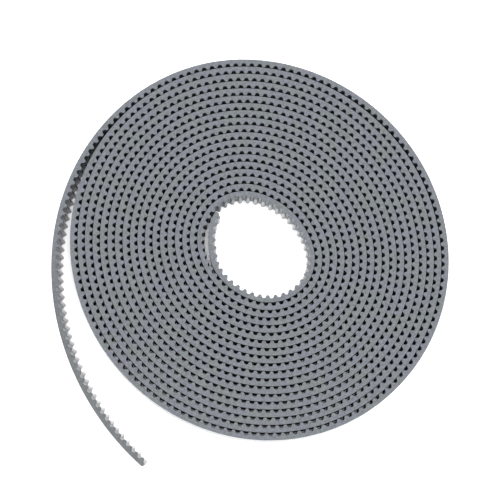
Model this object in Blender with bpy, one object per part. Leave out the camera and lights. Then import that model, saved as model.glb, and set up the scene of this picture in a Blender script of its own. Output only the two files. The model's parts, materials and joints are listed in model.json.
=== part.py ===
"""Open-ended timing belt, stored as a flat coil that stands on its edge.

The belt is laid up from three plies: a backing, a row of tensile cords and a
moulded tooth layer. The teeth point to the middle of the coil. The wound turns
are one rigid body. The free tail and the loose inner end are cut into short
lengths, each hinged to the one before it on the cord line, so that they bend.

Metres, +Z up. The origin is the middle of the bounding box, at the lower edge.
"""

import math

import bmesh
import bpy
import numpy as np
from mathutils import Vector

MM = 0.001

# Belt section
PITCH = 3.0 * MM
WIDTH = 10.0 * MM
THICKNESS = 2.67 * MM
TOOTH_HEIGHT = 1.17 * MM
CORD_TO_ROOT = 0.34 * MM
CORD_DIAMETER = 0.38 * MM
CORD_SPACING = 0.70 * MM
CORD_COUNT = 14
PLY_GAP = 0.01 * MM

# Tooth outline: half widths at the root, half way up and at the tip
TOOTH_HALF_ROOT = 1.17 * MM
TOOTH_HALF_MIDDLE = 0.83 * MM
TOOTH_HALF_TIP = 0.42 * MM

# Coil: mean radius of the cord line where the outer turn crosses +X, and its lobes, each
# with a count, a height, a direction and a twist for every turn
FIRST_RADIUS = 68.563 * MM
TURN_SPACING = 2.7407 * MM
LOBES = (
    (2, 1.976 * MM, math.radians(-50.1), math.radians(0.41)),
    (3, 0.126 * MM, math.radians(-7.8), 0.0),
    (4, 0.120 * MM, math.radians(0.5), 0.0),
)

# The outer turn bulges a little here, in turns from +X
BULGE_MIDDLE = 0.11
BULGE_SPAN = 0.30
BULGE_HEIGHT = 0.30 * MM

# The free tail leaves the coil here and ends here, in turns from +X
LIFT_OFF = 0.2965
TAIL_END = 0.6733
LIFT_CUBE = 580.0 * MM
LIFT_FOURTH = -608.0 * MM

# The loose inner end stands off the turn around it
TOOTH_COUNT = 1781
INNER_LOOSE_FROM = -18.415
INNER_LOOSE_SPAN = 0.205
INNER_LOOSE_GAP = 1.35 * MM

# Lengths that bend
TAIL_SEGMENTS = 8
TAIL_SEGMENT_TEETH = 5
INNER_SEGMENTS = 2
INNER_SEGMENT_TEETH = 5
HINGE_GAP = 0.50 * MM

# Facets
RAYS_PER_TURN = 60
COARSE_STEP = 3
FINE_BELOW = -17.0
TAIL_TEETH_PER_FACET = 2
INNER_TEETH_PER_FACET = 1
CORD_SIDES = 6
SHORTEST_FACET = 0.2 / RAYS_PER_TURN

# Tables of the path, in turns
TABLE_TURNS = 20
TABLE_STEPS_PER_TURN = 720
NORMAL_STEP = 0.0005

# Heights of the plies, measured outward from the cord line
BACK = THICKNESS - TOOTH_HEIGHT - CORD_TO_ROOT
ROOT = -CORD_TO_ROOT
TIP = -CORD_TO_ROOT - TOOTH_HEIGHT
CORD_TOP = CORD_DIAMETER / 2
BACKING_UNDERSIDE = CORD_TOP + PLY_GAP
TOOTH_LAYER_TOP = -CORD_TOP - PLY_GAP


def clear_scene():
    """Remove every object that the file opens with."""
    for item in list(bpy.data.objects):
        bpy.data.objects.remove(item, do_unlink=True)


def cord_radius(turn):
    """Radius of the cord line at a polar angle given in turns.

    The lobes keep their height from turn to turn, and the term in the slope keeps the
    turns the same distance apart, measured square to the belt.
    """
    angle = 2 * math.pi * turn
    mean = FIRST_RADIUS + TURN_SPACING * turn
    shape = 0.0
    slope = 0.0
    for count, height, direction, twist in LOBES:
        phase = count * (angle - direction + twist * turn)
        shape += height * math.cos(phase)
        slope -= count * height * math.sin(phase)
    radius = mean + shape - slope**2 / (2 * mean)
    if abs(turn - BULGE_MIDDLE) < BULGE_SPAN / 2:
        radius += BULGE_HEIGHT * math.cos(math.pi * (turn - BULGE_MIDDLE) / BULGE_SPAN) ** 2
    if turn > LIFT_OFF:
        past = turn - LIFT_OFF
        radius += LIFT_CUBE * past**3 + LIFT_FOURTH * past**4
    if turn < INNER_LOOSE_FROM:
        share = min(1.0, (INNER_LOOSE_FROM - turn) / INNER_LOOSE_SPAN)
        swell = math.sin(math.pi * share)
        radius -= INNER_LOOSE_GAP * (swell**2 if share < 0.5 else swell)
    return radius


def cord_point(turn):
    """Point of the cord line, about the middle of the coil."""
    angle = 2 * math.pi * turn
    radius = cord_radius(turn)
    return Vector((radius * math.cos(angle), radius * math.sin(angle)))


def outward(turn):
    """Unit normal of the belt at a place, from the teeth to the back."""
    along = cord_point(turn + NORMAL_STEP) - cord_point(turn - NORMAL_STEP)
    return Vector((along.y, -along.x)).normalized()


def belt_point(turn, height):
    """Point at a height above the cord line, square to the belt."""
    return cord_point(turn) + outward(turn) * height


def ray_point(turn, height):
    """The same height met along the polar ray, so that turns nest ray by ray."""
    angle = 2 * math.pi * turn
    ray = Vector((math.cos(angle), math.sin(angle)))
    return cord_point(turn) + ray * (height / ray.dot(outward(turn)))


def length_table():
    """Turns, and the belt's length from the tail's cut end to each of them."""
    steps = TABLE_STEPS_PER_TURN * TABLE_TURNS
    turns = np.linspace(TAIL_END, TAIL_END - TABLE_TURNS, steps + 1)
    points = np.array([cord_point(turn) for turn in turns])
    spans = np.hypot(*np.diff(points, axis=0).T)
    return turns, np.concatenate(([0.0], np.cumsum(spans)))


TURNS, LENGTHS = length_table()


def turn_at(length):
    """The place in turns at a length from the tail's cut end."""
    return float(np.interp(length, LENGTHS, TURNS))


BELT_LENGTH = TOOTH_COUNT * PITCH
TAIL_LENGTH = TAIL_SEGMENTS * TAIL_SEGMENT_TEETH * PITCH
INNER_LENGTH = INNER_SEGMENTS * INNER_SEGMENT_TEETH * PITCH


def new_material(name, colour, roughness, metallic):
    """Principled material with one colour."""
    material = bpy.data.materials.new(name)
    material.use_nodes = True
    shader = material.node_tree.nodes["Principled BSDF"]
    shader.inputs["Base Color"].default_value = (*colour, 1.0)
    shader.inputs["Roughness"].default_value = roughness
    shader.inputs["Metallic"].default_value = metallic
    material.diffuse_color = (*colour, 1.0)
    return material


def new_object(name, bm, material, pivot, parent):
    """Turn a bmesh in coil coordinates into an object whose origin is its pivot."""
    bmesh.ops.translate(bm, vec=-pivot, verts=bm.verts)
    bmesh.ops.recalc_face_normals(bm, faces=bm.faces)
    mesh = bpy.data.meshes.new(name)
    bm.to_mesh(mesh)
    bm.free()
    mesh.materials.append(material)
    item = bpy.data.objects.new(name, mesh)
    bpy.context.collection.objects.link(item)
    item.parent = parent
    return item


def new_pivot(name, turn, parent, parent_turn):
    """Empty that stands on a hinge line, on the cord line at a place."""
    empty = bpy.data.objects.new(name, None)
    bpy.context.collection.objects.link(empty)
    place = cord_point(turn)
    if parent is None:
        empty.location = (place - CENTRE).to_3d()
    else:
        empty.parent = parent
        empty.location = (place - cord_point(parent_turn)).to_3d()
    return empty


def extrude_cells(outer, inner, cells, low, high):
    """Closed wall between two plan curves, as a bmesh.

    cells lists (outer start, outer end, inner start, inner end), the stretches
    whose upper and lower faces are one face each.
    """
    bm = bmesh.new()
    curves = []
    for curve in (outer, inner):
        curves.append([[bm.verts.new((p.x, p.y, z)) for p in curve] for z in (low, high)])
    for floor, roof in curves:
        for i in range(len(floor) - 1):
            bm.faces.new((floor[i], floor[i + 1], roof[i + 1], roof[i]))
    for level in (0, 1):
        for o0, o1, i0, i1 in cells:
            rim = curves[0][level][o0 : o1 + 1] + curves[1][level][i0 : i1 + 1][::-1]
            bm.faces.new(rim)
    for end in (0, -1):
        bm.faces.new(
            (curves[0][0][end], curves[0][1][end], curves[1][1][end], curves[1][0][end])
        )
    return bm


def coil_rays(start, end, fine_below):
    """Places of a wound curve: both ends, and every ray that it keeps between."""
    places = [start]
    index = math.floor(start * RAYS_PER_TURN)
    while index > end * RAYS_PER_TURN:
        turn = index / RAYS_PER_TURN
        kept = turn <= fine_below or index % COARSE_STEP == 0
        if kept and end + SHORTEST_FACET < turn < start - SHORTEST_FACET:
            places.append(turn)
        index -= 1
    places.append(end)
    return places


def wound_ply(name, material, pivot, parent, start, end, heights, inner_fine_below):
    """One ply of the wound turns, with its facets on shared rays."""
    low_height, high_height = heights
    outer_places = coil_rays(start, end, FINE_BELOW)
    inner_places = coil_rays(start, end, inner_fine_below)
    shared = [turn for turn in outer_places if turn in set(inner_places)]
    cells = []
    for a, b in zip(shared, shared[1:]):
        cells.append(
            (outer_places.index(a), outer_places.index(b), inner_places.index(a), inner_places.index(b))
        )
    outer = [ray_point(turn, high_height) for turn in outer_places]
    inner = [ray_point(turn, low_height) for turn in inner_places]
    bm = extrude_cells(outer, inner, cells, 0.0, WIDTH)
    return new_object(name, bm, material, pivot, parent)


def bending_ends(start, teeth):
    """Ends of a hinged length: cut back at a hinge, and whole at a cut end."""
    end = start + teeth * PITCH
    low = start + HINGE_GAP / 2 if start > 0 else start
    high = end - HINGE_GAP / 2 if end < BELT_LENGTH - HINGE_GAP else end
    return low, high


def tooth_curve(start, teeth):
    """Places and heights of the toothed side along a number of teeth."""
    low, high = bending_ends(start, teeth)
    shape = (
        (-TOOTH_HALF_ROOT, ROOT),
        (-TOOTH_HALF_MIDDLE, (ROOT + TIP) / 2),
        (-TOOTH_HALF_TIP, TIP),
        (TOOTH_HALF_TIP, TIP),
        (TOOTH_HALF_MIDDLE, (ROOT + TIP) / 2),
        (TOOTH_HALF_ROOT, ROOT),
    )
    curve = [(low, ROOT)]
    for tooth in range(teeth):
        middle = start + (tooth + 0.5) * PITCH
        curve += [(middle + offset, height) for offset, height in shape]
    curve.append((high, ROOT))
    return curve


def length_stations(start, teeth, teeth_per_facet):
    """Lengths at which the flat plies of a bending length have a facet edge."""
    low, high = bending_ends(start, teeth)
    inside = [start + tooth * PITCH for tooth in range(teeth_per_facet, teeth, teeth_per_facet)]
    return [low, *inside, high]


def coil_ends():
    """Where the wound turns stop: short of the first tail and inner hinges."""
    start = turn_at(TAIL_LENGTH + HINGE_GAP / 2)
    end = turn_at(BELT_LENGTH - INNER_LENGTH - HINGE_GAP / 2)
    return start, end


def box_centre():
    """Middle of the belt's outline in plan, which becomes the origin."""
    points = [ray_point(turn, BACK) for turn in coil_rays(*coil_ends(), FINE_BELOW)]
    for number in range(TAIL_SEGMENTS):
        start = number * TAIL_SEGMENT_TEETH * PITCH
        for length in length_stations(start, TAIL_SEGMENT_TEETH, TAIL_TEETH_PER_FACET):
            points.append(belt_point(turn_at(length), BACK))
    corners = np.array(points)
    return Vector((corners.min(axis=0) + corners.max(axis=0)) / 2)


CENTRE = box_centre()


def flat_ply(name, material, pivot, parent, stations, heights, levels):
    """A flat ply of a bending length."""
    low_height, high_height = heights
    outer = [belt_point(turn_at(length), high_height) for length in stations]
    inner = [belt_point(turn_at(length), low_height) for length in stations]
    cells = [(i, i + 1, i, i + 1) for i in range(len(stations) - 1)]
    bm = extrude_cells(outer, inner, cells, *levels)
    return new_object(name, bm, material, pivot, parent)


def tooth_ply(name, material, pivot, parent, start, teeth, stations):
    """The moulded tooth layer of a bending length."""
    outer = [belt_point(turn_at(length), TOOTH_LAYER_TOP) for length in stations]
    inner = [belt_point(turn_at(length), height) for length, height in tooth_curve(start, teeth)]
    cells = [(0, len(outer) - 1, 0, len(inner) - 1)]
    bm = extrude_cells(outer, inner, cells, 0.0, WIDTH)
    return new_object(name, bm, material, pivot, parent)


def cord(name, material, pivot, parent, stations, level):
    """One tensile cord of a bending length, as a tube with flat ends."""
    bm = bmesh.new()
    rings = []
    radius = CORD_DIAMETER / 2
    for length in stations:
        turn = turn_at(length)
        ring = []
        for side in range(CORD_SIDES):
            angle = 2 * math.pi * side / CORD_SIDES
            place = belt_point(turn, radius * math.cos(angle))
            ring.append(bm.verts.new((place.x, place.y, level + radius * math.sin(angle))))
        rings.append(ring)
    for here, there in zip(rings, rings[1:]):
        for side in range(CORD_SIDES):
            after = (side + 1) % CORD_SIDES
            bm.faces.new((here[side], here[after], there[after], there[side]))
    bm.faces.new(rings[0])
    bm.faces.new(rings[-1])
    return new_object(name, bm, material, pivot, parent)


def cord_levels():
    """Heights of the cords' middles above the lower edge."""
    first = (WIDTH - (CORD_COUNT - 1) * CORD_SPACING) / 2
    return [first + row * CORD_SPACING for row in range(CORD_COUNT)]


def bending_length(label, start, teeth, teeth_per_facet, shows_cords, materials, pivot, parent):
    """Every ply of one hinged length of belt."""
    stations = length_stations(start, teeth, teeth_per_facet)
    backing, cords, tooth_layer = materials
    flat_ply(
        f"{label}_backing", backing, pivot, parent, stations, (BACKING_UNDERSIDE, BACK), (0.0, WIDTH)
    )
    tooth_ply(f"{label}_tooth_layer", tooth_layer, pivot, parent, start, teeth, stations)
    levels = cord_levels()
    if shows_cords:
        for row, level in enumerate(levels, start=1):
            cord(f"{label}_cord_{row:02d}", cords, pivot, parent, stations, level)
    else:
        band = (levels[0] - CORD_TOP, levels[-1] + CORD_TOP)
        flat_ply(f"{label}_cord_ply", cords, pivot, parent, stations, (-CORD_TOP, CORD_TOP), band)


def build_coil(materials):
    """The wound turns, from the first tail hinge to the first inner hinge."""
    backing, cords, tooth_layer = materials
    start, end = coil_ends()
    middle = bpy.data.objects.new("coil_middle", None)
    bpy.context.collection.objects.link(middle)
    middle.location = (-CENTRE).to_3d()
    pivot = Vector((0, 0, 0))
    for name, material, heights, fine in (
        ("coil_backing", backing, (BACKING_UNDERSIDE, BACK), FINE_BELOW),
        ("coil_cord_ply", cords, (-CORD_TOP, CORD_TOP), FINE_BELOW),
        ("coil_tooth_layer", tooth_layer, (TIP, TOOTH_LAYER_TOP), FINE_BELOW + 1),
    ):
        wound_ply(name, material, pivot, middle, start, end, heights, fine)


def build_tail(materials):
    """The free tail, hinged length by length from the coil to its cut end."""
    parent = None
    parent_turn = None
    for number in range(1, TAIL_SEGMENTS + 1):
        start = (TAIL_SEGMENTS - number) * TAIL_SEGMENT_TEETH * PITCH
        hinge = turn_at(start + TAIL_SEGMENT_TEETH * PITCH)
        empty = new_pivot(f"tail_{number}_hinge", hinge, parent, parent_turn)
        pivot = cord_point(hinge).to_3d()
        last = number == TAIL_SEGMENTS
        bending_length(
            f"tail_{number}",
            start,
            TAIL_SEGMENT_TEETH,
            TAIL_TEETH_PER_FACET,
            last,
            materials,
            pivot,
            empty,
        )
        parent = empty
        parent_turn = hinge


def build_inner_end(materials):
    """The loose inner end, hinged from the innermost turn to its cut end."""
    parent = None
    parent_turn = None
    for number in range(1, INNER_SEGMENTS + 1):
        start = BELT_LENGTH - INNER_LENGTH + (number - 1) * INNER_SEGMENT_TEETH * PITCH
        hinge = turn_at(start)
        empty = new_pivot(f"inner_{number}_hinge", hinge, parent, parent_turn)
        pivot = cord_point(hinge).to_3d()
        last = number == INNER_SEGMENTS
        bending_length(
            f"inner_{number}",
            start,
            INNER_SEGMENT_TEETH,
            INNER_TEETH_PER_FACET,
            last,
            materials,
            pivot,
            empty,
        )
        parent = empty
        parent_turn = hinge


def main():
    """Build the whole belt."""
    clear_scene()
    materials = (
        new_material("backing", (0.235, 0.255, 0.270), 0.55, 0.0),
        new_material("cord", (0.560, 0.570, 0.580), 0.40, 0.6),
        new_material("tooth_layer", (0.255, 0.275, 0.290), 0.45, 0.0),
    )
    build_coil(materials)
    build_tail(materials)
    build_inner_end(materials)


main()
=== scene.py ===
"""Looks of an open-ended timing belt wound into a flat coil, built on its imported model.

The belt's path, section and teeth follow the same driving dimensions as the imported
model. Every stretch of belt is a backing strip and a toothed strip that meet at the
cord line, with the cords inside. Metres, +Z up.
"""

import json
import math

import bpy
import numpy as np
from mathutils import Matrix, Vector


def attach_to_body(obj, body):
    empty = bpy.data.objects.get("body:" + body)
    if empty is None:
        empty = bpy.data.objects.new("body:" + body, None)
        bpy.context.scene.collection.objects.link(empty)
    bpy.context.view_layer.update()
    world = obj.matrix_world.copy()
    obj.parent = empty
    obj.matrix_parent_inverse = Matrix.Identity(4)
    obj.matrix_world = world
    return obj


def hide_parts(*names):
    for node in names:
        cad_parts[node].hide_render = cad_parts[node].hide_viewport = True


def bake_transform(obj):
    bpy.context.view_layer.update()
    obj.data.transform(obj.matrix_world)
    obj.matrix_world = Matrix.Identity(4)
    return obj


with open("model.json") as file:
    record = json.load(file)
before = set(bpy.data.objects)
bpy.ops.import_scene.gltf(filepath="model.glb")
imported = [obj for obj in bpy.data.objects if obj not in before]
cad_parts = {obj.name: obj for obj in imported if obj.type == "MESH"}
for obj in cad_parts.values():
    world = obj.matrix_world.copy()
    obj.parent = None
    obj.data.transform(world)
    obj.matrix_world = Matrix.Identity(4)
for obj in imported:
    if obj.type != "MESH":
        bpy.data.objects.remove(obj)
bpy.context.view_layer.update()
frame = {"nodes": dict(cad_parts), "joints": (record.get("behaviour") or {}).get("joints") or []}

MM = 0.001

# Belt section
PITCH = 3.0 * MM
WIDTH = 10.0 * MM
THICKNESS = 2.67 * MM
TOOTH_HEIGHT = 1.17 * MM
CORD_TO_ROOT = 0.34 * MM
CORD_DIAMETER = 0.38 * MM
CORD_SPACING = 0.70 * MM
CORD_COUNT = 14
BACK = THICKNESS - TOOTH_HEIGHT - CORD_TO_ROOT

# Tooth outline: a round tip, and a fillet into the land at each side
TIP_RADIUS = 0.73 * MM
TIP_ABOVE_LAND = TOOTH_HEIGHT - TIP_RADIUS
FILLET_RADIUS = 0.68 * MM
TIP_FACETS = 8
FILLET_FACETS = 3
SLIT_BEVEL = 0.05 * MM
SHARP_ANGLE = math.radians(32)

# Coil: mean radius of the cord line where the outer turn crosses +X, and its lobes, each
# with a count, a height, a direction and a twist for every turn
FIRST_RADIUS = 68.563 * MM
TURN_SPACING = 2.7407 * MM
LOBES = (
    (2, 1.976 * MM, math.radians(-50.1), math.radians(0.41)),
    (3, 0.126 * MM, math.radians(-7.8), 0.0),
    (4, 0.120 * MM, math.radians(0.5), 0.0),
)

# Bulge of the outer turn, free tail and loose inner end, in turns from +X
BULGE_MIDDLE = 0.11
BULGE_SPAN = 0.30
BULGE_HEIGHT = 0.30 * MM
LIFT_OFF = 0.2965
TAIL_END = 0.6733
LIFT_CUBE = 580.0 * MM
LIFT_FOURTH = -608.0 * MM
LEAN = 1.15 * MM
LEAN_BREAK = 3
TOOTH_COUNT = 1781
INNER_LOOSE_FROM = -18.415
INNER_LOOSE_SPAN = 0.205
INNER_LOOSE_GAP = 1.35 * MM

# Cord ends that show: seven twisted wires, cut a hair proud of the polymer
WIRE_RADIUS = CORD_DIAMETER / 6
WIRE_LAY = 4.0 * MM
WIRE_STEP = 0.25 * MM
OUTER_WIRES = 6
PROUD = 0.03 * MM
CORD_SIDES = 6

# Teeth in each hinged length, and in each visible stretch from the tail's cut end
TAIL_SEGMENTS = 8
TAIL_SEGMENT_TEETH = 5
INNER_SEGMENTS = 2
INNER_SEGMENT_TEETH = 5
INNER_FIRST_TEETH = 2
COIL_PIECES = 3

# Tables of the path, in turns
TABLE_MARGIN = 0.005
TABLE_TURNS = 20
TABLE_STEPS_PER_TURN = 720
NORMAL_STEP = 0.0005

# Mesh attributes that the materials read
BELT_PLACE = "belt_place"
REST_PLACE = "rest_place"

# Noise: the range that holds most of it, its own roughness, and its octaves
MOST_NOISE = (0.3, 0.7)
NOISE_ROUGHNESS = 0.55
PLAIN_DETAIL = 1.0
SOFT_DETAIL = 2.0
FINE_DETAIL = 3.0

# Slit edge: two casts of grey, a duller tail, fine grain, drag lines and a pale burr line, which is
# also a painted highlight on the back edge
SLIT_BLUISH = (0.082, 0.087, 0.100, 1.0)
SLIT_GREENISH = (0.081, 0.089, 0.093, 1.0)
SLIT_SPECULAR = 0.15
SLIT_ROUGHNESS = (0.58, 0.74)
CAST_SIZE = 6.0 * MM
CAST_NOISE = (0.42, 0.64)
TAIL_TINT = (0.864, 0.841, 0.805, 1.0)
TAIL_TINT_FADES = (60.0 * MM, 105.0 * MM)
GRAIN_SIZE = 0.9 * MM
GRAIN_SHADES = (0.82, 1.18)
DRAG_SIZES = (6.0 * MM, 0.12 * MM, 10.0 * MM)
DRAG_DEPTH = 0.012 * MM
LINE_SHADES = (0.90, 1.10)
# Pale line along the back edge: partly a burr, partly a painted highlight of the edge catching
# light
BURR_HIGHLIGHT_COLOUR = (0.15, 0.155, 0.16, 1.0)
BURR_HIGHLIGHT_WIDTH = 0.18 * MM
BURR_HIGHLIGHT_SIZES = (120.0 * MM, 1000.0 * MM, 1000.0 * MM)
BURR_HIGHLIGHT_NOISE = (0.45, 0.62)
BURR_HIGHLIGHT_SHARES = (0.15, 0.60)

# Moulded faces: roughness inside the coil, in the tooth gaps, and on the tips and the back
# Moulded colours are kept far darker than the slit edge's so that the tooth pits look dark: painted
# shade on every moulded face
SHADED_MOULDED_BLUISH = (0.033, 0.041, 0.051, 1.0)
SHADED_MOULDED_GREENISH = (0.034, 0.043, 0.046, 1.0)
MOULDED_SPECULAR = 0.5
COVERED = 0.80
DULL = 0.30
GLOSSY = 0.11
GLOSS_FROM = 0.25 * TOOTH_HEIGHT
GLOSS_TO = 0.95 * TOOTH_HEIGHT
SMEAR = 0.06
PORE_SIZE = 0.12 * MM
MOULD_DEPTH = 0.010 * MM
CORD_SHARE = 0.35

# Lengths of belt over which the back and the teeth show, at each end
BACK_SHOWS = (600.0 * MM, 30.0 * MM)
TEETH_SHOW = (135.0 * MM, 115.0 * MM)
SHOW_EDGE = 25.0 * MM

# Steel wire
WIRE_SPECULAR = 0.5
WIRE_SIZES = (0.6 * MM, 0.02 * MM, 0.02 * MM)
WIRE_DEPTH = 0.004 * MM
WIRE_DARK = (0.42, 0.42, 0.43, 1.0)
WIRE_LIGHT = (0.66, 0.66, 0.65, 1.0)
WIRE_ROUGHNESS = (0.28, 0.45)

# Floor
FLOOR_DARK = (0.90, 0.90, 0.91, 1.0)
FLOOR_LIGHT = (0.93, 0.93, 0.94, 1.0)
FLOOR_SPECULAR = 0.2
FLOOR_ROUGHNESS = 0.8
FLOOR_GRAIN = 30.0 * MM
FLOOR_DETAIL = 4.0

# Height of the turns over the floor: its mean, its swing, and its waves in each turn
RISE_MEAN = 0.05 * MM
RISE_SWING = 0.05 * MM
RISE_RATES = (0.37, 1.31)


# ---------------------------------------------------------------- path


def stand_off(turn):
    """How far the free tail stands off the coil."""
    past = np.maximum(turn - LIFT_OFF, 0.0)
    return LIFT_CUBE * past**3 + LIFT_FOURTH * past**4


def cord_radius(turn):
    """Radius of the cord line at a polar angle given in turns.

    The lobes keep their height from turn to turn, and the term in the slope keeps the
    turns the same distance apart, measured square to the belt.
    """
    angle = 2 * math.pi * turn
    mean = FIRST_RADIUS + TURN_SPACING * turn
    shape = 0.0
    slope = 0.0
    for count, height, direction, twist in LOBES:
        phase = count * (angle - direction + twist * turn)
        shape = shape + height * np.cos(phase)
        slope = slope - count * height * np.sin(phase)
    radius = mean + shape - slope**2 / (2 * mean)
    place = np.clip((turn - BULGE_MIDDLE) / BULGE_SPAN, -0.5, 0.5)
    radius = radius + BULGE_HEIGHT * np.cos(math.pi * place) ** 2 + stand_off(turn)
    share = np.clip((INNER_LOOSE_FROM - turn) / INNER_LOOSE_SPAN, 0.0, 1.0)
    swell = np.sin(math.pi * share)
    return radius - INNER_LOOSE_GAP * np.where(share < 0.5, swell**2, swell)


def cord_point(turn):
    """Points of the cord line about the middle of the coil, one row each."""
    angle = 2 * math.pi * np.asarray(turn, float)
    radius = cord_radius(np.asarray(turn, float))
    return np.stack((radius * np.cos(angle), radius * np.sin(angle)), axis=-1)


def outward(turn):
    """Unit normals of the belt, from the teeth to the back."""
    turn = np.asarray(turn, float)
    along = cord_point(turn + NORMAL_STEP) - cord_point(turn - NORMAL_STEP)
    along /= np.linalg.norm(along, axis=-1, keepdims=True)
    return np.stack((along[..., 1], -along[..., 0]), axis=-1)


def length_table():
    """Turns, and the belt's length from the tail's cut end to each of them."""
    steps = TABLE_STEPS_PER_TURN * TABLE_TURNS
    first = TAIL_END + TABLE_MARGIN
    turns = np.linspace(first, first - TABLE_TURNS, steps + 1)
    spans = np.linalg.norm(np.diff(cord_point(turns), axis=0), axis=1)
    lengths = np.concatenate(([0.0], np.cumsum(spans)))
    return turns, lengths - np.interp(-TAIL_END, -turns, lengths)


TURNS, LENGTHS = length_table()
BELT_LENGTH = TOOTH_COUNT * PITCH
TAIL_LENGTH = TAIL_SEGMENTS * TAIL_SEGMENT_TEETH * PITCH


def turn_at(length):
    """Places in turns at lengths from the tail's cut end."""
    return np.interp(length, LENGTHS, TURNS)


def coil_middle():
    """The coil's middle in the frame, from the first tail hinge, which is on the cord line."""
    hinge = next(joint for joint in frame["joints"] if joint["name"] == "tail_bend_1")
    return np.array(hinge["pos_m"][:2]) - cord_point(turn_at(TAIL_LENGTH))


MIDDLE = coil_middle()


def plan_points(lengths, heights, levels):
    """Plan points in the frame at lengths along the belt and heights over the cord line.

    The free tail leans: its lower edge rests on the coil for as long as it can reach
    it, and stays further in than the upper edge from there on.
    """
    turns = turn_at(np.asarray(lengths, float))
    apart = stand_off(turns)
    lean = apart / (1 + (apart / LEAN) ** LEAN_BREAK) ** (1 / LEAN_BREAK)
    inward = lean * (1 - np.asarray(levels, float) / WIDTH)
    return MIDDLE + cord_point(turns) + outward(turns) * (heights - inward)[:, None]


def over_floor(lengths):
    """Height of the belt's lower edge over the floor: each turn has its own, and the tail none."""
    turns = turn_at(np.asarray(lengths, float))
    waves = sum(np.sin(2 * math.pi * rate * turns) for rate in RISE_RATES) / len(RISE_RATES)
    settled = np.clip((LIFT_OFF - turns) / LIFT_OFF, 0.0, 1.0)
    return settled * (RISE_MEAN + RISE_SWING * waves)


# ---------------------------------------------------------------- section


def tooth_outline():
    """Offsets from a tooth's middle, heights over the cord line and unit normals out of it.

    The outline starts at the middle of the land before the tooth and ends on the land
    after it, one point short of the next tooth's first.
    """
    fillet_x = math.sqrt((TIP_RADIUS + FILLET_RADIUS) ** 2 - (FILLET_RADIUS - TIP_ABOVE_LAND) ** 2)
    reach = math.atan2(fillet_x, FILLET_RADIUS - TIP_ABOVE_LAND)
    land = -CORD_TO_ROOT
    points = [(-PITCH / 2, land, 0.0, -1.0)]
    for step in range(FILLET_FACETS):
        angle = reach * step / FILLET_FACETS
        x = -fillet_x + FILLET_RADIUS * math.sin(angle)
        y = land - FILLET_RADIUS * (1 - math.cos(angle))
        points.append((x, y, -math.sin(angle), -math.cos(angle)))
    for step in range(TIP_FACETS + 1):
        angle = reach * (2 * step / TIP_FACETS - 1)
        x = TIP_RADIUS * math.sin(angle)
        y = land - TIP_ABOVE_LAND - TIP_RADIUS * math.cos(angle)
        points.append((x, y, math.sin(angle), -math.cos(angle)))
    for step in reversed(range(FILLET_FACETS)):
        angle = reach * step / FILLET_FACETS
        x = fillet_x - FILLET_RADIUS * math.sin(angle)
        y = land - FILLET_RADIUS * (1 - math.cos(angle))
        points.append((x, y, math.sin(angle), -math.cos(angle)))
    return np.array(points)


OUTLINE = tooth_outline()


def toothed_side(start, teeth, inset):
    """Lengths and heights of the toothed side, moved into the belt by inset."""
    shape = OUTLINE[:, :2] - inset * OUTLINE[:, 2:]
    middles = start + (np.arange(teeth) + 0.5) * PITCH
    lengths = (middles[:, None] + shape[None, :, 0]).ravel()
    heights = np.tile(shape[:, 1], teeth)
    return np.append(lengths, start + teeth * PITCH), np.append(heights, -CORD_TO_ROOT + inset)


def smooth_side(start, teeth, height):
    """Lengths and heights of a smooth side, with two facets for each tooth."""
    lengths = start + np.arange(2 * teeth + 1) * PITCH / 2
    return lengths, np.full(lengths.shape, height)


# ---------------------------------------------------------------- meshes


def new_object(name, vertices, faces, materials, faces_of_second, places):
    """Smooth mesh object that keeps each vertex's place on the belt and in the frame."""
    mesh = bpy.data.meshes.new(name)
    mesh.from_pydata(vertices, [], faces)
    mesh.polygons.foreach_set("use_smooth", [not second for second in faces_of_second])
    mesh.polygons.foreach_set("material_index", [int(second) for second in faces_of_second])
    for label, rows in ((BELT_PLACE, places), (REST_PLACE, vertices)):
        attribute = mesh.attributes.new(label, "FLOAT_VECTOR", "POINT")
        attribute.data.foreach_set("vector", np.asarray(rows, np.float32).ravel())
    mesh.set_sharp_from_angle(angle=SHARP_ANGLE)
    for material in materials:
        mesh.materials.append(material)
    mesh.update()
    item = bpy.data.objects.new(name, mesh)
    bpy.context.scene.collection.objects.link(item)
    return item


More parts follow.
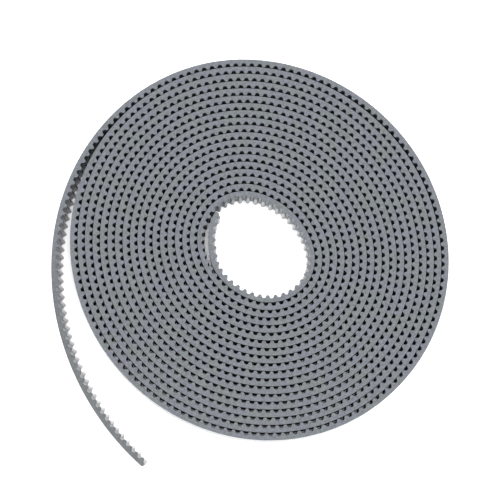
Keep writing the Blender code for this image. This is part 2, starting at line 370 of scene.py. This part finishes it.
def closed_strip(name, material, joined, shaped, inset, teeth, faces_out):
    """Closed strip between a plain joined side and a shaped side with bevelled edges.

    joined, shaped and inset are (lengths, heights). faces_out says that the shaped side
    is the back of the belt and not the teeth.
    """
    rings = []
    places = []
    vertices = []
    sides = ((joined, 0.0, WIDTH), (shaped, SLIT_BEVEL, WIDTH - SLIT_BEVEL), (inset, 0.0, WIDTH))
    for (lengths, heights), low, high in sides:
        rise = over_floor(lengths)
        for level in (low, high):
            plan = plan_points(lengths, heights, level)
            rings.append(list(range(len(vertices), len(vertices) + len(lengths))))
            vertices += np.column_stack((plan, rise + level)).tolist()
            places += np.column_stack((lengths, heights, np.full(len(lengths), level))).tolist()
    join_low, join_high, wall_low, wall_high, cap_low, cap_high = rings

    faces = []
    slit = []

    def add(face, turned, is_slit):
        faces.append(face[::-1] if turned else face)
        slit.append(is_slit)

    for i in range(len(join_low) - 1):
        add((join_low[i], join_low[i + 1], join_high[i + 1], join_high[i]), not faces_out, False)
    for i in range(len(wall_low) - 1):
        j = i + 1
        add((wall_low[i], wall_high[i], wall_high[j], wall_low[j]), not faces_out, False)
        add((wall_high[i], cap_high[i], cap_high[j], wall_high[j]), not faces_out, False)
        add((wall_low[i], wall_low[j], cap_low[j], cap_low[i]), not faces_out, False)
    join_step = (len(join_low) - 1) // teeth
    cap_step = (len(cap_low) - 1) // teeth
    for tooth in range(teeth):
        near = slice(tooth * join_step, (tooth + 1) * join_step + 1)
        far = slice(tooth * cap_step, (tooth + 1) * cap_step + 1)
        add(join_high[near] + cap_high[far][::-1], not faces_out, True)
        add(join_low[near][::-1] + cap_low[far], not faces_out, True)
    around = (join_low, join_high, cap_high, wall_high, wall_low, cap_low)
    for end in (0, -1):
        add(tuple(ring[end] for ring in around), (end == 0) != faces_out, True)
    return new_object(name, vertices, faces, (material, MATERIALS["slit"]), slit, places)


def tubes(name, lengths, lines, radius):
    """Parallel closed tubes along the belt.

    lines holds (heights over the cord line, levels over the lower edge) at the lengths.
    """
    rise = over_floor(lengths)
    angles = 2 * math.pi * np.arange(CORD_SIDES) / CORD_SIDES
    vertices = []
    places = []
    faces = []
    ring_lengths = np.repeat(lengths, CORD_SIDES)
    for heights, levels in lines:
        base = len(vertices)
        ring_heights = np.add.outer(heights, radius * np.cos(angles))
        ring_levels = np.add.outer(levels, radius * np.sin(angles))
        spots = (ring_lengths, ring_heights.ravel(), ring_levels.ravel())
        tops = (ring_levels + rise[:, None]).ravel()
        vertices += np.column_stack((plan_points(*spots), tops)).tolist()
        places += np.column_stack(spots).tolist()
        for ring in range(len(lengths) - 1):
            here = base + ring * CORD_SIDES
            for side in range(CORD_SIDES):
                after = (side + 1) % CORD_SIDES
                there = here + CORD_SIDES
                faces.append((here + side, here + after, there + after, there + side))
        first = list(range(base, base + CORD_SIDES))
        last = [corner + (len(lengths) - 1) * CORD_SIDES for corner in first]
        faces += [first[::-1], last]
    return new_object(name, vertices, faces, (MATERIALS["cord"],), [False] * len(faces), places)


def cord_levels():
    """Heights of the cords' middles above the lower edge."""
    first = (WIDTH - (CORD_COUNT - 1) * CORD_SPACING) / 2
    return first + np.arange(CORD_COUNT) * CORD_SPACING


def plain_cords(name, start, teeth):
    """Cords of a stretch that hides them, each a smooth tube."""
    lengths = start + np.arange(teeth + 1) * PITCH
    flat = np.zeros(len(lengths))
    lines = [(flat, flat + level) for level in cord_levels()]
    return tubes(name, lengths, lines, CORD_DIAMETER / 2)


def twisted_cords(name, low, high):
    """Cords of a stretch that ends in a cut, each of seven twisted wires."""
    lengths = np.linspace(low, high, round((high - low) / WIRE_STEP) + 1)
    flat = np.zeros(len(lengths))
    lines = []
    for level in cord_levels():
        lines.append((flat, flat + level))
        for wire in range(OUTER_WIRES):
            angles = 2 * math.pi * (lengths / WIRE_LAY + wire / OUTER_WIRES)
            offset = 2 * WIRE_RADIUS
            lines.append((offset * np.cos(angles), level + offset * np.sin(angles)))
    return tubes(name, lengths, lines, WIRE_RADIUS)


def cords(name, start, teeth):
    """Cords of a stretch, twisted and a hair proud where the belt is cut."""
    end = start + teeth * PITCH
    if start == 0:
        return twisted_cords(name, start - PROUD, end)
    if end > BELT_LENGTH - PITCH / 2:
        return twisted_cords(name, start, end + PROUD)
    return plain_cords(name, start, teeth)


def backing(name, start, teeth):
    """Backing of a stretch: from the cord line to the smooth back."""
    return closed_strip(
        name,
        MATERIALS["backing"],
        smooth_side(start, teeth, 0.0),
        smooth_side(start, teeth, BACK),
        smooth_side(start, teeth, BACK - SLIT_BEVEL),
        teeth,
        True,
    )


def tooth_strip(name, start, teeth):
    """Toothed side of a stretch: from the cord line to the tooth tips."""
    return closed_strip(
        name,
        MATERIALS["tooth_layer"],
        smooth_side(start, teeth, 0.0),
        toothed_side(start, teeth, 0.0),
        toothed_side(start, teeth, SLIT_BEVEL),
        teeth,
        False,
    )


# ---------------------------------------------------------------- materials


def new_material(name, specular, metallic=0.0):
    """Material, its node tree and its shader."""
    material = bpy.data.materials.new(name)
    material.use_nodes = True
    tree = material.node_tree
    shader = tree.nodes["Principled BSDF"]
    shader.inputs["Specular IOR Level"].default_value = specular
    shader.inputs["Metallic"].default_value = metallic
    return material, tree, shader


def place(tree, kept):
    """Place that each vertex keeps, along the belt or in the frame at rest."""
    return new_node(tree, "ShaderNodeAttribute", {}, attribute_name=kept).outputs["Vector"]


def new_node(tree, kind, inputs, **settings):
    """Node whose inputs take numbers, colours or other nodes' outputs."""
    node = tree.nodes.new(kind)
    for label, value in settings.items():
        setattr(node, label, value)
    for label, value in inputs.items():
        if isinstance(value, bpy.types.NodeSocket):
            tree.links.new(value, node.inputs[label])
        else:
            node.inputs[label].default_value = value
    return node


def calculate(tree, operation, *values):
    """Output of a Math node."""
    return new_node(tree, "ShaderNodeMath", dict(enumerate(values)), operation=operation).outputs[0]


def rescale(tree, value, low, high, to_low, to_high):
    """Value moved from one range to another, and held inside it."""
    inputs = dict(enumerate((value, low, high, to_low, to_high)))
    return new_node(tree, "ShaderNodeMapRange", inputs, interpolation_type="SMOOTHSTEP").outputs[0]


def noise(tree, vector, size, detail):
    """Soft noise with features of a size in metres, around one half."""
    inputs = {"Vector": vector, "Scale": 1 / size, "Detail": detail, "Roughness": NOISE_ROUGHNESS}
    return new_node(tree, "ShaderNodeTexNoise", inputs).outputs[0]


def stretched(tree, vector, sizes):
    """Coordinates in units of a length for each axis."""
    inputs = {0: vector, 1: [1 / size for size in sizes]}
    return new_node(tree, "ShaderNodeVectorMath", inputs, operation="MULTIPLY").outputs[0]


def mixed(tree, factor, first, second, blend="MIX"):
    """Mix of two colours."""
    inputs = {0: factor, 6: first, 7: second}
    node = new_node(tree, "ShaderNodeMix", inputs, data_type="RGBA", blend_type=blend)
    return node.outputs[2]


def dimmed(tree, colour, amount):
    """Colour times a number."""
    inputs = {0: colour, 3: amount}
    return new_node(tree, "ShaderNodeVectorMath", inputs, operation="SCALE").outputs[0]


def bump(tree, shader, height, depth):
    """Relief of the surface, from a height of 0 to 1 and a depth in metres."""
    node = new_node(tree, "ShaderNodeBump", {"Height": height, "Distance": depth, "Strength": 1.0})
    tree.links.new(node.outputs[0], shader.inputs["Normal"])


def mottled(tree, rest, bluish, greenish):
    """Grey that drifts between two casts over some millimetres, with fine grain."""
    cast = rescale(tree, noise(tree, rest, CAST_SIZE, SOFT_DETAIL), *CAST_NOISE, 0.0, 1.0)
    grain = rescale(tree, noise(tree, rest, GRAIN_SIZE, FINE_DETAIL), *MOST_NOISE, *GRAIN_SHADES)
    return dimmed(tree, mixed(tree, cast, bluish, greenish), grain)


def slit_material():
    """Knife-cut edge: matte, with fine lengthwise drag lines, and here and there a pale burr line
    along the back edge that is also a painted highlight.

    It is a duller and more neutral grey near the tail's cut end.
    """
    material, tree, shader = new_material("belt_slit_edge", SLIT_SPECULAR)
    belt = place(tree, BELT_PLACE)
    rest = place(tree, REST_PLACE)
    lines = noise(tree, stretched(tree, belt, DRAG_SIZES), 1.0, FINE_DETAIL)
    length, height, _ = new_node(tree, "ShaderNodeSeparateXYZ", {0: belt}).outputs
    near_end = rescale(tree, length, *TAIL_TINT_FADES, 1.0, 0.0)
    colour = mottled(tree, rest, SLIT_BLUISH, SLIT_GREENISH)
    colour = mixed(tree, near_end, colour, TAIL_TINT, "MULTIPLY")
    colour = dimmed(tree, colour, rescale(tree, lines, *MOST_NOISE, *LINE_SHADES))
    # Pale line along the back edge, here and there: a burr and a painted highlight
    burr_highlight = rescale(tree, height, BACK - BURR_HIGHLIGHT_WIDTH, BACK - BURR_HIGHLIGHT_WIDTH / 2, 0.0, 1.0)
    where = noise(tree, stretched(tree, belt, BURR_HIGHLIGHT_SIZES), 1.0, PLAIN_DETAIL)
    burr_highlight = calculate(tree, "MULTIPLY", burr_highlight, rescale(tree, where, *BURR_HIGHLIGHT_NOISE, *BURR_HIGHLIGHT_SHARES))
    colour = mixed(tree, burr_highlight, colour, BURR_HIGHLIGHT_COLOUR)
    tree.links.new(colour, shader.inputs["Base Color"])
    tree.links.new(rescale(tree, lines, *MOST_NOISE, *SLIT_ROUGHNESS), shader.inputs["Roughness"])
    pores = noise(tree, rest, PORE_SIZE, SOFT_DETAIL)
    bump(tree, shader, calculate(tree, "ADD", lines, pores), DRAG_DEPTH)
    return material


def moulded_material(name, shows):
    """Moulded face: glossy where the belt's ends show it, and dull inside the coil.

    Where it shows, the tooth gaps are duller than the tips and the back.
    """
    material, tree, shader = new_material(name, MOULDED_SPECULAR)
    belt = place(tree, BELT_PLACE)
    rest = place(tree, REST_PLACE)
    # Darkened moulded colour: painted shade that makes the tooth pits dark
    colour = mottled(tree, rest, SHADED_MOULDED_BLUISH, SHADED_MOULDED_GREENISH)
    tree.links.new(colour, shader.inputs["Base Color"])
    length, height, level = new_node(tree, "ShaderNodeSeparateXYZ", {0: belt}).outputs
    from_root = calculate(tree, "ABSOLUTE", calculate(tree, "ADD", height, CORD_TO_ROOT))
    gloss = rescale(tree, from_root, GLOSS_FROM, GLOSS_TO, DULL, GLOSSY)
    smear = rescale(tree, noise(tree, rest, GRAIN_SIZE, FINE_DETAIL), *MOST_NOISE, -SMEAR, SMEAR)
    gloss = calculate(tree, "ADD", gloss, smear)
    first, last = shows[0], BELT_LENGTH - shows[1]
    covered = calculate(
        tree,
        "MULTIPLY",
        rescale(tree, length, first - SHOW_EDGE, first + SHOW_EDGE, 0.0, 1.0),
        rescale(tree, length, last - SHOW_EDGE, last + SHOW_EDGE, 1.0, 0.0),
    )
    duller = calculate(tree, "SUBTRACT", COVERED, gloss)
    gloss = calculate(tree, "MULTIPLY_ADD", duller, covered, gloss)
    tree.links.new(gloss, shader.inputs["Roughness"])
    waves = calculate(tree, "SINE", calculate(tree, "MULTIPLY", level, 2 * math.pi / CORD_SPACING))
    pores = noise(tree, rest, PORE_SIZE, SOFT_DETAIL)
    bump(tree, shader, calculate(tree, "MULTIPLY_ADD", waves, CORD_SHARE, pores), MOULD_DEPTH)
    return material


def cord_material():
    """Drawn steel wire."""
    material, tree, shader = new_material("belt_steel_cord", WIRE_SPECULAR, metallic=1.0)
    along = stretched(tree, place(tree, BELT_PLACE), WIRE_SIZES)
    drawn = noise(tree, along, 1.0, FINE_DETAIL)
    tree.links.new(mixed(tree, drawn, WIRE_DARK, WIRE_LIGHT), shader.inputs["Base Color"])
    tree.links.new(rescale(tree, drawn, *MOST_NOISE, *WIRE_ROUGHNESS), shader.inputs["Roughness"])
    bump(tree, shader, drawn, WIRE_DEPTH)
    return material


def floor_material():
    """Pale matte board."""
    material, tree, shader = new_material("floor_board", FLOOR_SPECULAR)
    spot = new_node(tree, "ShaderNodeTexCoord", {}).outputs["Object"]
    grain = noise(tree, spot, FLOOR_GRAIN, FLOOR_DETAIL)
    tree.links.new(mixed(tree, grain, FLOOR_DARK, FLOOR_LIGHT), shader.inputs["Base Color"])
    shader.inputs["Roughness"].default_value = FLOOR_ROUGHNESS
    return material


MATERIALS = {
    "backing": moulded_material("belt_moulded_back", BACK_SHOWS),
    "tooth_layer": moulded_material("belt_moulded_teeth", TEETH_SHOW),
    "slit": slit_material(),
    "cord": cord_material(),
    "floor": floor_material(),
}


# ---------------------------------------------------------------- stretches


def stretches():
    """Name, first length, teeth and bodies of every visible stretch."""
    half = TAIL_SEGMENT_TEETH // 2
    found = [("tail_end", 0, TAIL_SEGMENT_TEETH - half, (f"tail_{TAIL_SEGMENTS}",))]
    for number in range(TAIL_SEGMENTS - 1, 0, -1):
        first = (TAIL_SEGMENTS - number) * TAIL_SEGMENT_TEETH - half
        bodies = (f"tail_{number}", f"tail_{number + 1}")
        found.append((f"tail_bend_{number + 1}", first, TAIL_SEGMENT_TEETH, bodies))
    first = TAIL_SEGMENTS * TAIL_SEGMENT_TEETH - half
    found.append(("tail_bend_1", first, half, ("coil", "tail_1")))
    first += half
    coil_teeth = TOOTH_COUNT - first - INNER_SEGMENTS * INNER_SEGMENT_TEETH
    for number in range(COIL_PIECES):
        begin = first + coil_teeth * number // COIL_PIECES
        end = first + coil_teeth * (number + 1) // COIL_PIECES
        found.append((f"coil_{number + 1}", begin, end - begin, ("coil",)))
    first += coil_teeth
    found.append(("inner_bend_1", first, INNER_FIRST_TEETH, ("coil", "inner_1")))
    first += INNER_FIRST_TEETH
    middle_teeth = 2 * (INNER_SEGMENT_TEETH - INNER_FIRST_TEETH)
    found.append(("inner_bend_2", first, middle_teeth, ("inner_1", "inner_2")))
    first += middle_teeth
    found.append(("inner_end", first, TOOTH_COUNT - first, ("inner_2",)))
    return found


def cord_line(length):
    """Point on the cord line, half way up the belt."""
    plan = plan_points([length], np.zeros(1), WIDTH / 2)[0]
    return (plan[0], plan[1], WIDTH / 2)


def attach(piece, bodies, first, teeth):
    """Ride on one body; a stretch between two bodies only has its transform baked into its mesh and
    rides on no body.
    """
    if len(bodies) == 1:
        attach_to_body(piece, bodies[0])
        return
    ends = [cord_line(first * PITCH), cord_line((first + teeth) * PITCH)]
    if bodies[1].startswith("tail"):
        ends.reverse()
    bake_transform(piece)


def replaced_nodes(body, layer):
    """CAD nodes of a body that a visible piece stands for."""
    if layer != "cord":
        return [f"{body}_{layer}"]
    if f"{body}_cord_ply" in frame["nodes"]:
        return [f"{body}_cord_ply"]
    return [f"{body}_cord_{number:02d}" for number in range(1, CORD_COUNT + 1)]


def build_belt():
    """Every visible piece of the belt, in place of the CAD plies."""
    for name, first, teeth, bodies in stretches():
        start = first * PITCH
        pieces = {
            "backing": backing(f"{name}_backing_strip", start, teeth),
            "tooth_layer": tooth_strip(f"{name}_tooth_strip", start, teeth),
            "cord": cords(f"{name}_cords", start, teeth),
        }
        for layer, piece in pieces.items():
            attach(piece, bodies, first, teeth)
            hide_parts(*replaced_nodes(bodies[-1], layer))


build_belt()


# ---------------------------------------------------------------- studio

FOCAL_LENGTH = 133.7
SENSOR_WIDTH = 36.0
CAMERA_TILT = math.radians(9.845)
CAMERA_SIDE = math.radians(-99.26)
AIM_FROM_MIDDLE = Vector((-2.743, -0.530, 10.0)) * MM
CAMERA_DISTANCE = 674.1 * MM
NEAREST = 0.01
FARTHEST = 20.0

FLOOR_SIZE = 3.0
WHITE = (1.0, 1.0, 1.0, 1.0)
DOME = 2.2
OVERHEAD_DIAMETER = 0.6
OVERHEAD_HEIGHT = 1.5
OVERHEAD_POWER = 14.0


def add_camera():
    """Camera almost straight above, tilted a little to one side."""
    data = bpy.data.cameras.new("camera")
    data.lens = FOCAL_LENGTH
    data.sensor_width = SENSOR_WIDTH
    data.clip_start = NEAREST
    data.clip_end = FARTHEST
    camera = bpy.data.objects.new("camera", data)
    bpy.context.scene.collection.objects.link(camera)
    hinge = Vector((-math.sin(CAMERA_SIDE), math.cos(CAMERA_SIDE), 0.0))
    turn = Matrix.Rotation(CAMERA_TILT, 4, hinge)
    back = turn @ Vector((0.0, 0.0, 1.0))
    aim = AIM_FROM_MIDDLE + Vector((*MIDDLE, 0.0))
    camera.matrix_world = Matrix.Translation(aim + back * CAMERA_DISTANCE) @ turn
    bpy.context.scene.camera = camera


def add_floor():
    """Plain pale floor under the belt."""
    corners = [(-FLOOR_SIZE, -FLOOR_SIZE, 0), (FLOOR_SIZE, -FLOOR_SIZE, 0)]
    corners += [(FLOOR_SIZE, FLOOR_SIZE, 0), (-FLOOR_SIZE, FLOOR_SIZE, 0)]
    mesh = bpy.data.meshes.new("floor")
    mesh.from_pydata(corners, [], [(0, 1, 2, 3)])
    mesh.materials.append(MATERIALS["floor"])
    floor = bpy.data.objects.new("floor", mesh)
    bpy.context.scene.collection.objects.link(floor)


def add_light():
    """White dome and one wide soft lamp overhead."""
    world = bpy.data.worlds.new("studio")
    bpy.context.scene.world = world
    world.use_nodes = True
    background = world.node_tree.nodes["Background"]
    background.inputs["Color"].default_value = WHITE
    background.inputs["Strength"].default_value = DOME
    data = bpy.data.lights.new("overhead", "AREA")
    data.shape = "DISK"
    data.size = OVERHEAD_DIAMETER
    data.energy = OVERHEAD_POWER
    lamp = bpy.data.objects.new("overhead", data)
    bpy.context.scene.collection.objects.link(lamp)
    lamp.location = (0.0, 0.0, OVERHEAD_HEIGHT)


add_camera()
add_floor()
add_light()
bpy.context.scene.view_settings.view_transform = "Standard"
